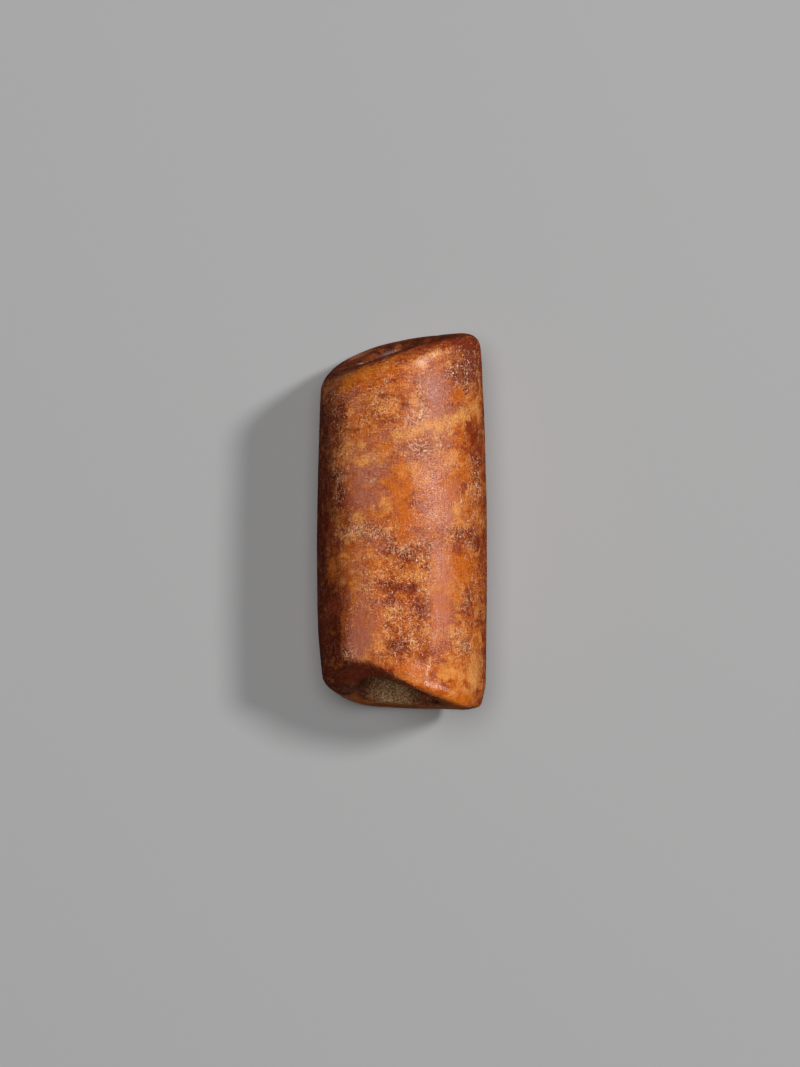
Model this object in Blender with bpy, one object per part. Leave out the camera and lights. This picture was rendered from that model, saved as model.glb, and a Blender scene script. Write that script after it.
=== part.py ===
"""Ancient jade cylinder bead, lying on its side as it was found: one stone, ground by hand to a
long barrel and drilled through from both ends.

Metres, +Z up. The bead lies along Y. The origin is on the surface that it lies on, under the
middle of its length and width. An angle round the bead starts at +X and turns up towards +Z.
Each end has a face that leans, a broad groove that the cord has worn across it from the mouth to
the upper left edge, and a rim whose rounding is different on the left flank, at -X.
"""

import math

import bmesh
import bpy

# The barrel
BEAD_LENGTH = 0.0391
BELLY_RADIUS = 0.0090
HIGH_END_RADIUS = 0.0083
LOW_END_RADIUS = 0.0088
BELLY_FROM_MIDDLE = -0.0040

# The long flats left by grinding, one of which became the flat that the bead rests on
GROUND_FLATS = 9
GROUND_FLAT_DEPTH = 0.00005
REST_FLAT_WIDTH = 0.0047

# The pitted hollow, weathered out beside the polished strip on top
HOLLOW_FROM_MIDDLE = -0.0088
HOLLOW_LENGTH = 0.0136
HOLLOW_ANGLE = math.radians(87.5)
HOLLOW_WIDTH = 0.0053
HOLLOW_DEPTH = 0.00032

# The high end, towards +Y. A lean is a slope: across is towards +X and up is towards +Z
HIGH_LEAN_ACROSS = 0.124
HIGH_LEAN_UP = -0.102
HIGH_GROOVE_DEPTH = 0.0029
HIGH_GROOVE_ANGLE = math.radians(163)
HIGH_GROOVE_WIDTH = 0.0128
HIGH_RIM_ROUND = 0.0019
HIGH_FLANK_ROUND = 0.0014
HIGH_FLANK_ANGLE = math.radians(185)
HIGH_MOUTH_RADIUS = 0.0040

# The low end, towards -Y
LOW_LEAN_ACROSS = 0.058
LOW_LEAN_UP = -0.104
LOW_GROOVE_DEPTH = 0.0037
LOW_GROOVE_ANGLE = math.radians(125)
LOW_GROOVE_WIDTH = 0.0074
LOW_RIM_ROUND = 0.0008
LOW_FLANK_ROUND = 0.0024
LOW_FLANK_ANGLE = math.radians(200)
LOW_FLANK_WEAR = 0.0008
LOW_FLANK_WEAR_LENGTH = 0.0060
LOW_FLANK_WEAR_SPREAD = math.radians(50)
LOW_MOUTH_RADIUS = 0.0045

GROOVE_SOFTNESS = 0.6
FLANK_SPREAD = math.radians(32)

# The edge of each mouth, and how much rounder the cord has worn it in the groove
MOUTH_ROUND = 0.0005
MOUTH_WEAR = 0.0009
MOUTH_WEAR_SPREAD = math.radians(60)
LEAST_FACE_WIDTH = 0.0003

# The bore: two tapered drillings that meet a little out of line
WAIST_RADIUS = 0.0034
MEETING_FROM_MIDDLE = 0.0012
MEETING_RIDGE = 0.0008
DRILLING_MISS_ACROSS = 0.00022
DRILLING_MISS_UP = 0.00014

# The bore's axis stands this high, so that the belly's flat is on the surface
AXIS_HEIGHT = math.sqrt(BELLY_RADIUS**2 - (REST_FLAT_WIDTH / 2) ** 2)

# Faces: points in a ring round the bead, and rings in each stretch
RING_POINTS = 72
BODY_RINGS = 26
RIM_RINGS = 5
FACE_RINGS = 3
MOUTH_RINGS = 3
DRILLING_RINGS = 7

JADE_COLOUR = (0.42, 0.15, 0.045, 1.0)
JADE_ROUGHNESS = 0.34

HIGH_END = {
    "towards": 1,
    "radius": HIGH_END_RADIUS,
    "lean_across": HIGH_LEAN_ACROSS,
    "lean_up": HIGH_LEAN_UP,
    "groove_depth": HIGH_GROOVE_DEPTH,
    "groove_angle": HIGH_GROOVE_ANGLE,
    "groove_width": HIGH_GROOVE_WIDTH,
    "rim_round": HIGH_RIM_ROUND,
    "flank_round": HIGH_FLANK_ROUND,
    "flank_angle": HIGH_FLANK_ANGLE,
    "mouth_radius": HIGH_MOUTH_RADIUS,
}
LOW_END = {
    "towards": -1,
    "radius": LOW_END_RADIUS,
    "lean_across": LOW_LEAN_ACROSS,
    "lean_up": LOW_LEAN_UP,
    "groove_depth": LOW_GROOVE_DEPTH,
    "groove_angle": LOW_GROOVE_ANGLE,
    "groove_width": LOW_GROOVE_WIDTH,
    "rim_round": LOW_RIM_ROUND,
    "flank_round": LOW_FLANK_ROUND,
    "flank_angle": LOW_FLANK_ANGLE,
    "mouth_radius": LOW_MOUTH_RADIUS,
}


def clear_scene():
    for thing in list(bpy.data.objects):
        bpy.data.objects.remove(thing, do_unlink=True)


def hump(distance, spread):
    """1 at no distance, falling smoothly to nothing a couple of spreads away."""
    return math.exp(-((distance / spread) ** 2))


def turn_between(angle, other):
    """The shorter turn from one angle to another, with its sign."""
    return (angle - other + math.pi) % (2 * math.pi) - math.pi


def barrel_radius(y):
    """The barrel without its flats and hollow: widest at the belly, narrower towards each end."""
    end = HIGH_END if y > BELLY_FROM_MIDDLE else LOW_END
    end_y = end["towards"] * BEAD_LENGTH / 2
    share = (y - BELLY_FROM_MIDDLE) / (end_y - BELLY_FROM_MIDDLE)
    return BELLY_RADIUS - (BELLY_RADIUS - end["radius"]) * share**2


def body_radius(angle, y):
    """The outside of the bead, with the ground flats, the pitted hollow and the worn low flank."""
    radius = barrel_radius(y)
    flats = GROUND_FLAT_DEPTH * math.cos(GROUND_FLATS * (angle - math.pi / 2))
    off_along = (y - HOLLOW_FROM_MIDDLE) / (HOLLOW_LENGTH / 2)
    off_round = turn_between(angle, HOLLOW_ANGLE) * radius / (HOLLOW_WIDTH / 2)
    hollow = HOLLOW_DEPTH * math.exp(-(off_along**4)) * math.exp(-(off_round**4))
    worn = LOW_FLANK_WEAR * hump(y + BEAD_LENGTH / 2, LOW_FLANK_WEAR_LENGTH)
    worn *= hump(turn_between(angle, LOW_FLANK_ANGLE), LOW_FLANK_WEAR_SPREAD)
    return radius + flats - hollow - worn


def groove_depth(end, angle, radius):
    """The depth of an end's cord-worn groove: nothing behind the bore, all of it at the rim."""
    turn = angle - end["groove_angle"]
    along = radius * math.cos(turn) / end["radius"]
    opened = (along + math.hypot(along, GROOVE_SOFTNESS)) / 2
    return end["groove_depth"] * opened * hump(radius * math.sin(turn), end["groove_width"])


def face_reach(end, angle, radius):
    """How far an end's face stands from the middle of the bead, at a point on the face."""
    across = end["lean_across"] * radius * math.cos(angle)
    up = end["lean_up"] * radius * math.sin(angle)
    return BEAD_LENGTH / 2 + across + up - groove_depth(end, angle, radius)


def drilled_radius(end, y):
    """The radius of one tapered drilling, at a place along the bead."""
    depth = BEAD_LENGTH / 2 - end["towards"] * MEETING_FROM_MIDDLE
    share = end["towards"] * (y - MEETING_FROM_MIDDLE) / depth
    return WAIST_RADIUS + (end["mouth_radius"] - WAIST_RADIUS) * share


def mouth_round(end, angle):
    """The radius of the rounding between a drilling's wall and the end's face."""
    return MOUTH_ROUND + MOUTH_WEAR * hump(turn_between(angle, end["groove_angle"]), MOUTH_WEAR_SPREAD)


def mouth_edge(end, angle):
    """(radius, y) where a drilling's wall starts to round over into the end's face."""
    y = end["towards"] * (face_reach(end, angle, end["mouth_radius"]) - mouth_round(end, angle))
    return drilled_radius(end, y), y


def rim_round(end, angle):
    """(radial width, length along the bead) of the rounding of the rim."""
    flank = hump(turn_between(angle, end["flank_angle"]), FLANK_SPREAD)
    size = end["rim_round"] + (end["flank_round"] - end["rim_round"]) * flank
    wall = end["radius"] - end["mouth_radius"] - mouth_round(end, angle) - LEAST_FACE_WIDTH
    return min(size, wall), size


def rim_start(end, angle):
    """The y where the outside of the bead starts to round over into the end's face."""
    return end["towards"] * (face_reach(end, angle, end["radius"]) - rim_round(end, angle)[1])


def body_point(angle, share):
    """A point of the outside, from the low rim at share 0 to the high rim at share 1."""
    low, high = rim_start(LOW_END, angle), rim_start(HIGH_END, angle)
    y = low + (high - low) * share
    return body_radius(angle, y), y


def rim_point(end, angle, share):
    """A point of the rounded rim, from the outside at share 0 to the face at share 1."""
    width, length = rim_round(end, angle)
    turn = share * math.pi / 2
    radius = body_radius(angle, rim_start(end, angle)) - width * (1 - math.cos(turn))
    return radius, end["towards"] * (face_reach(end, angle, radius) - length * (1 - math.sin(turn)))


def mouth_point(end, angle, share):
    """A point of the rounded mouth, from the face at share 0 to the drilled wall at share 1."""
    turn = share * math.pi / 2
    size = mouth_round(end, angle)
    radius = mouth_edge(end, angle)[0] + size * (1 - math.sin(turn))
    drop = size * (1 - math.cos(turn))
    return radius, end["towards"] * (face_reach(end, angle, radius) - drop)


def face_point(end, angle, share):
    """A point of the end's face, from the rim at share 0 to the mouth at share 1."""
    outer, inner = rim_point(end, angle, 1)[0], mouth_point(end, angle, 0)[0]
    radius = outer + (inner - outer) * share
    return radius, end["towards"] * face_reach(end, angle, radius)


def drilling_point(end, angle, share):
    """A point of the drilled wall, from the mouth at share 0 to the ridge at share 1."""
    mouth = mouth_edge(end, angle)[1]
    ridge = MEETING_FROM_MIDDLE + end["towards"] * MEETING_RIDGE / 2
    y = mouth + (ridge - mouth) * share
    return drilled_radius(end, y), y


def placed(angle, radius, y, missed=0.0):
    """The place of a point of the wall. missed is how far its drilling has run off the axis,
    from -1 to 1."""
    across = radius * math.cos(angle) + missed * DRILLING_MISS_ACROSS
    up = radius * math.sin(angle) + missed * DRILLING_MISS_UP
    return across, y, max(AXIS_HEIGHT + up, 0.0)


def shares(rings, left_out_first=0, left_out_last=0):
    """Even shares from 0 to 1, without those that the stretch before or after has already."""
    return [step / (rings - 1) for step in range(left_out_first, rings - left_out_last)]


def end_outline(end, angle):
    """Half of the wall's outline at one angle: over the rim, across the face and down the bore."""
    points = [rim_point(end, angle, share) for share in shares(RIM_RINGS + 1, left_out_first=1)]
    points += [face_point(end, angle, share) for share in shares(FACE_RINGS + 2, 1, 1)]
    points += [mouth_point(end, angle, share) for share in shares(MOUTH_RINGS + 1, left_out_last=1)]
    outline = [placed(angle, radius, y) for radius, y in points]
    for share in shares(DRILLING_RINGS):
        outline.append(placed(angle, *drilling_point(end, angle, share), end["towards"] * share))
    return outline


def wall_outline(angle):
    """The closed outline of the wall at one angle: along the outside, and back by the bore."""
    outside = [placed(angle, *body_point(angle, share)) for share in shares(BODY_RINGS)]
    return outside + end_outline(HIGH_END, angle) + end_outline(LOW_END, angle)[::-1]


def middle_of(lowest, highest):
    return (lowest + highest) / 2


def bead_mesh():
    """Skins the outlines, taken at even angles round the bead, and centres the mesh on the origin."""
    shell = bmesh.new()
    outlines = []
    for step in range(RING_POINTS):
        outline = wall_outline(2 * math.pi * step / RING_POINTS)
        outlines.append([shell.verts.new(place) for place in outline])
    for outline, following in zip(outlines, outlines[1:] + outlines[:1]):
        for ring in range(len(outline)):
            shell.faces.new((outline[ring], following[ring], following[ring - 1], outline[ring - 1]))
    bmesh.ops.recalc_face_normals(shell, faces=shell.faces)
    across, along = ([vert.co[axis] for vert in shell.verts] for axis in (0, 1))
    off_centre = (middle_of(min(across), max(across)), middle_of(min(along), max(along)), 0.0)
    bmesh.ops.translate(shell, verts=shell.verts, vec=[-shift for shift in off_centre])
    mesh = bpy.data.meshes.new("jade_bead")
    shell.to_mesh(mesh)
    shell.free()
    mesh.shade_smooth()
    return mesh


def jade_material():
    jade = bpy.data.materials.new("jade")
    jade.use_nodes = True
    shader = jade.node_tree.nodes["Principled BSDF"]
    shader.inputs["Base Color"].default_value = JADE_COLOUR
    shader.inputs["Roughness"].default_value = JADE_ROUGHNESS
    shader.inputs["Metallic"].default_value = 0.0
    return jade


def make_bead():
    bead = bpy.data.objects.new("jade_bead", bead_mesh())
    bead.data.materials.append(jade_material())
    bpy.context.scene.collection.objects.link(bead)


clear_scene()
make_bead()
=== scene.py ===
"""The looks of an ancient jade cylinder bead: one stone, russet and honey, etched by the ground.

The mesh is in metres, and the bead's own sizes are in millimetres. The bead lies along Y. A place
on its side is given by around, the way round the bead from the line along its top towards +X, and
by along, the way along Y. A named pair of numbers says where something starts and where it is
full. For what lies on the left, both are counted towards the left.
"""

import itertools
import math

import bmesh
import bpy
import numpy as np
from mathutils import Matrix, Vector


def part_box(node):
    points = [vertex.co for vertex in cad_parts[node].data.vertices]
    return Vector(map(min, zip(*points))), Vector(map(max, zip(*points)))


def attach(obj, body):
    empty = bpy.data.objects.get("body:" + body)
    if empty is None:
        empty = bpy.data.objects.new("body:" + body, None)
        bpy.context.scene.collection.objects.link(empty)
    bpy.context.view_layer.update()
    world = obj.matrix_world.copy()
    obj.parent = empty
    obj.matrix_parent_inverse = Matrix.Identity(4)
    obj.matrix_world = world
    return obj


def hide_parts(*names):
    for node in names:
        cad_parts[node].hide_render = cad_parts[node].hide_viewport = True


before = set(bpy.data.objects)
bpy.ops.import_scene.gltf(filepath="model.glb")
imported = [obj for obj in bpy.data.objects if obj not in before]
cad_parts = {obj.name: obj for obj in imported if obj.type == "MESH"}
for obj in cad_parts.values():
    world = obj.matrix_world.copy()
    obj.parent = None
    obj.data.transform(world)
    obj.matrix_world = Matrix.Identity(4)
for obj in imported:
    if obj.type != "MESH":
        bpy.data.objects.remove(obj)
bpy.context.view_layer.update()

# The bead
# One stone of weathered nephrite, ground by hand to a barrel, drilled from both ends and worn
# slantwise by its cord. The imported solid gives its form. Its skin is remade here as fine, even
# faces, which hold the pits that the ground has etched and the marks that wear has left.

MM = 0.001
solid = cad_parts["jade_bead"]
low, high = (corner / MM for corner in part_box("jade_bead"))
BELLY_RADIUS = (high.x - low.x) / 2
AXIS_HEIGHT = high.z - BELLY_RADIUS

# The width of the skin's faces, and the softening that takes the solid's facets out of them
SKIN_FACE = 0.19
WELD_DISTANCE = 0.001
SOFTENING = 0.5
SOFTENING_ROUNDS = 6


def rows_of(mesh, what):
    """What each of a mesh's points has, as the rows of a table."""
    rows = np.empty(len(mesh.vertices) * 3)
    mesh.vertices.foreach_get(what, rows)
    return rows.reshape(-1, 3)


def places_of(mesh):
    """The places of a mesh's points, in millimetres."""
    return rows_of(mesh, "co") / MM


def shaped(piece):
    """The piece's mesh with its modifiers worked in."""
    worked = piece.evaluated_get(bpy.context.evaluated_depsgraph_get())
    made = bpy.data.meshes.new_from_object(worked)
    piece.modifiers.clear()
    return made


def welded_copy(source):
    """A copy of a mesh in which the points that lie on one another are one."""
    work = bmesh.new()
    work.from_mesh(source)
    bmesh.ops.remove_doubles(work, verts=work.verts, dist=WELD_DISTANCE * MM)
    mesh = bpy.data.meshes.new("weathered_bead")
    work.to_mesh(mesh)
    work.free()
    return mesh


def remade_skin(source):
    """A new piece with the solid's form, in even faces that hide the solid's facets."""
    piece = bpy.data.objects.new("weathered_bead", welded_copy(source.data))
    bpy.context.scene.collection.objects.link(piece)
    remesh = piece.modifiers.new("even faces", "REMESH")
    remesh.mode = "VOXEL"
    remesh.voxel_size = SKIN_FACE * MM
    softened = piece.modifiers.new("facets softened", "SMOOTH")
    softened.factor = SOFTENING
    softened.iterations = SOFTENING_ROUNDS
    piece.data = shaped(piece)
    return piece


# The bore needs fewer faces. This share of all the skin's faces stays, and the strength keeps the
# thinning to the bore
BORE_RADIUS = 5.0
FACES_KEPT = 0.80
THINNING_STRENGTH = 10.0


def thin_the_bore(piece):
    """Leaves fewer, larger faces inside the bore."""
    places = places_of(piece.data)
    inside = np.hypot(places[:, 0], places[:, 2] - AXIS_HEIGHT) < BORE_RADIUS
    piece.vertex_groups.new(name="bore").add(np.flatnonzero(inside).tolist(), 1.0, "REPLACE")
    thinned = piece.modifiers.new("bore thinned", "DECIMATE")
    thinned.ratio = FACES_KEPT
    thinned.vertex_group = "bore"
    thinned.vertex_group_factor = THINNING_STRENGTH
    piece.data = shaped(piece)
    piece.vertex_groups.clear()
    piece.data.shade_smooth()


# Large odd numbers and shifts, which scatter the values of neighbouring cells
CELL_FACTORS = (73856093, 19349663, 83492791)
SEED_FACTOR = 9176263
STIRRING_FACTOR = 1274126177
STIRRING_SHIFTS = (13, 17, 11)
LARGEST = 0xFFFFFFFF


def random_at(cells, seed):
    """A value from 0 to 1 for each cell of a grid, always the same for the same cell."""
    stirred = cells.astype(np.int64) @ np.array(CELL_FACTORS) + seed * SEED_FACTOR
    for shift in STIRRING_SHIFTS:
        stirred = (stirred ^ (stirred >> shift)) * STIRRING_FACTOR & LARGEST
    return stirred / LARGEST


def noise(places, size, seed):
    """Smooth random values, from -1 to 1, that change over distances of about size."""
    grid = places / size
    corner = np.floor(grid)
    share = grid - corner
    share = share**3 * (share * (share * 6 - 15) + 10)
    total = np.zeros(len(places))
    for step in itertools.product((0, 1), repeat=3):
        weight = np.prod(np.where(step, share, 1 - share), axis=1)
        total += weight * random_at(corner + step, seed)
    return total * 2 - 1


def layered_noise(places, size, layers, seed):
    """Noise with finer and finer noise on top of it, half as strong each time."""
    shares = [0.5**layer for layer in range(layers)]
    noises = [share * noise(places, size * share, seed + layer) for layer, share in enumerate(shares)]
    return sum(noises) / sum(shares)


# The radius of a pit, as shares of the spacing: the least, and the most that chance adds to it
LEAST_PIT = 0.2
PIT_SPREAD = 0.5


def pits(places, spacing, share, seed):
    """The depth, from 0 to 1, of round hollows in a share of the cells of a grid."""
    cells = np.floor(places / spacing)
    depth = np.zeros(len(places))
    for step in itertools.product((-1, 0, 1), repeat=3):
        cell = cells + step
        jitter = np.stack([random_at(cell, seed + axis) for axis in range(3)], axis=1)
        there = random_at(cell, seed + 4) < share
        radius = spacing * (LEAST_PIT + PIT_SPREAD * random_at(cell, seed + 3))
        away = np.linalg.norm(places - (cell + jitter) * spacing, axis=1)
        depth = np.maximum(depth, there * (1 - (away / radius) ** 2))
    return depth


def rising(values, start, end):
    """0 before start and 1 after end, with a smooth rise between them."""
    share = np.clip((values - start) / (end - start), 0, 1)
    return share * share * (3 - 2 * share)


def patch(at, around, along, half_width, half_length, lean, strength):
    """A soft oval patch on the bead's side, leaning by some degrees."""
    turn = math.radians(lean)
    across, up = at[0] - around, at[1] - along
    wide = (across * math.cos(turn) + up * math.sin(turn)) / half_width
    long = (up * math.cos(turn) - across * math.sin(turn)) / half_length
    return strength * np.exp(-(wide**2 + long**2))


def patches(at, spots):
    """Many patches, one upon another."""
    return sum(patch(at, *spot) for spot in spots)


def streak(at, path, width):
    """A soft streak along a path on the bead's side."""
    nearest = np.full(len(at[0]), np.inf)
    for start, end in zip(path, path[1:]):
        run = np.subtract(end, start)
        past = (at[0] - start[0]) * run[0] + (at[1] - start[1]) * run[1]
        share = np.clip(past / (run @ run), 0, 1)
        away = np.hypot(at[0] - start[0] - share * run[0], at[1] - start[1] - share * run[1])
        nearest = np.minimum(nearest, away)
    return np.exp(-((nearest / width) ** 2))


# How many times the skin is evened out to find what stands out from it
RIM_ROUNDS = 12


def evened(places, ends, count):
    """Each place moved to the mean of those that edges join it to."""
    moved = np.empty_like(places)
    for axis, values in enumerate(places.T):
        summed = sum(np.bincount(near, values[far], len(places)) for near, far in (ends, ends[::-1]))
        moved[:, axis] = summed / count
    return moved


def standing_out(mesh):
    """How far each point stands out from the mean of those round it: most on the rims."""
    places = places_of(mesh)
    ends = np.empty(len(mesh.edges) * 2, np.int64)
    mesh.edges.foreach_get("vertices", ends)
    ends = ends.reshape(-1, 2).T
    count = np.bincount(ends.ravel(), minlength=len(places))
    mean = places
    for _ in range(RIM_ROUNDS):
        mean = evened(mean, ends, count)
    return ((places - mean) * rows_of(mesh, "normal")).sum(axis=1)


# Where the skin is weathered to a sugary roughness, and where it has kept its polish. Each patch
# here and below is its middle around and along, half its width and length, its lean in degrees and
# its strength
WEATHERED = [
    (-2.0, 10.8, 2.6, 3.2, 0, 0.45),
    (2.0, 12.8, 0.7, 1.6, 0, 0.7),
    (7.2, 15.4, 2.6, 2.6, 0, 0.65),
    (1.7, 7.4, 2.8, 1.2, 15, 0.6),
    (-4.5, 12.0, 3.0, 1.6, 0, 0.25),
    (-8.0, 11.0, 1.6, 3.4, 0, 0.6),
    (-7.8, 3.4, 1.0, 3.0, 0, 0.8),
    (-4.6, -1.2, 2.8, 0.9, 0, 1.0),
    (6.4, -1.4, 3.0, 1.2, 0, 0.8),
    (9.4, 3.0, 1.4, 4.0, 0, 0.7),
    (-3.0, -5.5, 1.6, 2.6, 0, 0.5),
    (-6.0, -13.7, 1.2, 1.0, 0, 1.0),
    (1.4, -14.0, 2.4, 1.2, 0, 0.6),
    (7.0, -12.8, 2.0, 1.6, 0, 0.7),
    (8.4, -9.0, 1.6, 3.0, 0, 0.5),
]
POLISHED = [
    (9.0, 9.2, 1.4, 1.4, 0, 0.8),
    (0.3, 12.0, 0.9, 1.0, 20, 0.8),
    (1.0, -15.3, 2.0, 0.8, -18, 0.7),
    (4.4, -7.8, 1.2, 5.6, 0, 1.0),
    (-4.4, -11.8, 1.4, 2.0, 0, 0.95),
    (3.6, 14.0, 1.8, 2.0, -20, 0.45),
    (2.5, 16.6, 0.8, 0.6, 20, 0.9),
    (4.0, 18.8, 4.2, 0.5, 12, 0.8),
    (4.4, -17.5, 2.0, 0.4, -20, 0.8),
    (-5.2, 15.1, 3.2, 1.1, 14, 0.9),
    (0.1, 2.6, 1.3, 3.4, 0, 0.85),
    (6.7, 13.3, 1.1, 1.1, 0, 0.95),
    (-4.6, 3.2, 1.8, 1.8, 0, 0.6),
    (4.8, -15.8, 3.4, 1.3, -18, 0.85),
    (6.4, -17.9, 2.6, 0.9, -10, 0.9),
    (7.0, -4.8, 1.3, 2.2, 0, 0.8),
    (-4.9, 11.8, 0.9, 0.9, 0, 0.8),
    (3.9, 3.6, 1.8, 1.6, 0, 0.6),
]

# How weathered the skin is anywhere, how much chance adds or takes, and the size of its clouds
WEATHERED_ANYWHERE = 0.36
WEATHERED_BY_CHANCE = 0.35
WEATHERED_SIZE = 4.0

# A strip along the top that the ground has eaten into, with a crisp edge on its right
STRIP_LEFT = -2.2
STRIP_RIGHT = 2.9
STRIP_LOW = -14.6
STRIP_HIGH = -1.8
STRIP_DEPTH = 0.13
STRIP_SOFT_EDGE = 0.8
STRIP_CRISP_EDGE = 0.35
STRIP_WEATHERED = 0.9

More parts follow.
